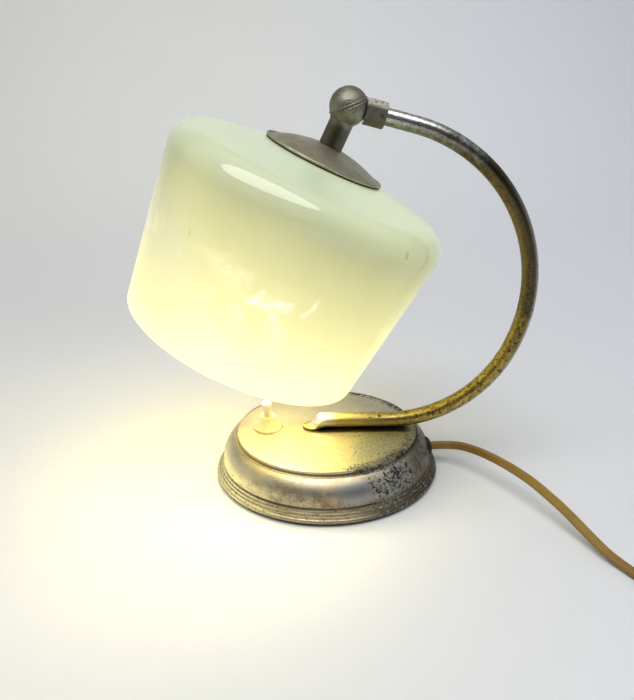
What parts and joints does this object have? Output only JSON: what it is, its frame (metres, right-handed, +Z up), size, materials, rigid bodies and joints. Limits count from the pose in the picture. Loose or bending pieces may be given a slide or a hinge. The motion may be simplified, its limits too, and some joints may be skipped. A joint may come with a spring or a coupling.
{
  "type": "bedside lamp",
  "caption": "Bedside lamp: opal glass drum shade on a ball knuckle, held by a bent tube arm over a round stepped metal base with a toggle switch.",
  "frame": {"origin": "centre of the base's felt underside", "axes": "+Z up, +X from the base's centre towards the bend of the arm and the cord, -Y towards the viewer of the picture"},
  "size_m": [0.3767, 0.2655, 0.239],
  "materials": {
    "felt": "matt felt",
    "black_iron": "rough casting",
    "cover_steel": "dull black paint",
    "steel": "zinc plated",
    "brass": "bare turned brass",
    "base_nickel": "worn nickel plating over brass, with pits",
    "arm_brass": "worn nickel plating over brass",
    "nut_brass": "worn nickel plating over brass",
    "knuckle_nickel": "satin nickel plating",
    "cap_nickel": "satin nickel plating",
    "fibre": "red fibre",
    "rubber": "dull black rubber",
    "opal_glass": "pale green opal glass",
    "bakelite": "dark brown bakelite",
    "porcelain": "glazed porcelain",
    "bulb_white": "white coated bulb glass",
    "bulb_metal": "pressed cap",
    "cream": "cream bakelite",
    "black_plastic": "black moulding",
    "cord_brown": "golden brown flex",
    "lead_white": "insulated wire",
    "tie_white": "paper-covered tie"
  },
  "bodies": {
    "base": {"felt_pad": "felt", "base_cover": "cover_steel", "cover_screws": "steel", "cover_posts": "brass", "base_weight": "black_iron", "base_shell": "base_nickel", "arm_tube": "arm_brass", "arm_backing_bar": "brass", "arm_screws": "steel", "hex_nut": "nut_brass", "nut_grub_screw": "steel", "switch_collar": "cream", "switch_bush": "brass", "switch_body": "black_plastic", "switch_terminals": "brass", "switch_pin": "steel", "cord_grommet": "rubber", "cord_clamp": "black_plastic", "clamp_screws": "steel", "base_lead": "cord_brown", "arm_lead": "lead_white", "mains_cord": "cord_brown", "cord_coil": "cord_brown", "cord_tie": "tie_white", "plug_body": "black_plastic", "plug_blades": "brass"},
    "neck": {"knuckle_neck": "brass", "neck_lead": "lead_white"},
    "head": {"ball_lower": "knuckle_nickel", "ball_cap": "knuckle_nickel", "pivot_pin": "steel", "knuckle_washers": "fibre", "stem_nipple": "brass", "shade_cap": "cap_nickel", "shade_gasket": "rubber", "glass_shade": "opal_glass", "shade_ring": "bakelite", "lampholder_cap": "bakelite", "lampholder_skirt": "bakelite", "lampholder_core": "porcelain", "lampholder_thread": "brass", "lampholder_contact": "brass", "bulb_cap": "bulb_metal", "bulb_tip": "bulb_metal", "bulb_glass": "bulb_white", "head_lead": "lead_white"},
    "lever": {"switch_lever": "cream", "switch_blade": "brass"}
  },
  "joints": [
    {"name": "head_swivel", "type": "hinge", "parent": "base", "child": "neck", "pos_m": [0.01513, 0, 0.22798], "axis": [0.9636, 0, -0.2672], "range_deg": [-75, 75]},
    {"name": "shade_tilt", "type": "hinge", "parent": "neck", "child": "head", "pos_m": [0.01513, 0, 0.22798], "axis": [0, 1, 0], "range_deg": [-22, 15]},
    {"name": "switch_toggle", "type": "hinge", "parent": "base", "child": "lever", "pos_m": [-0.038, 0, 0.0325], "axis": [-1, 0, 0], "range_deg": [0, 24]}
  ]
}
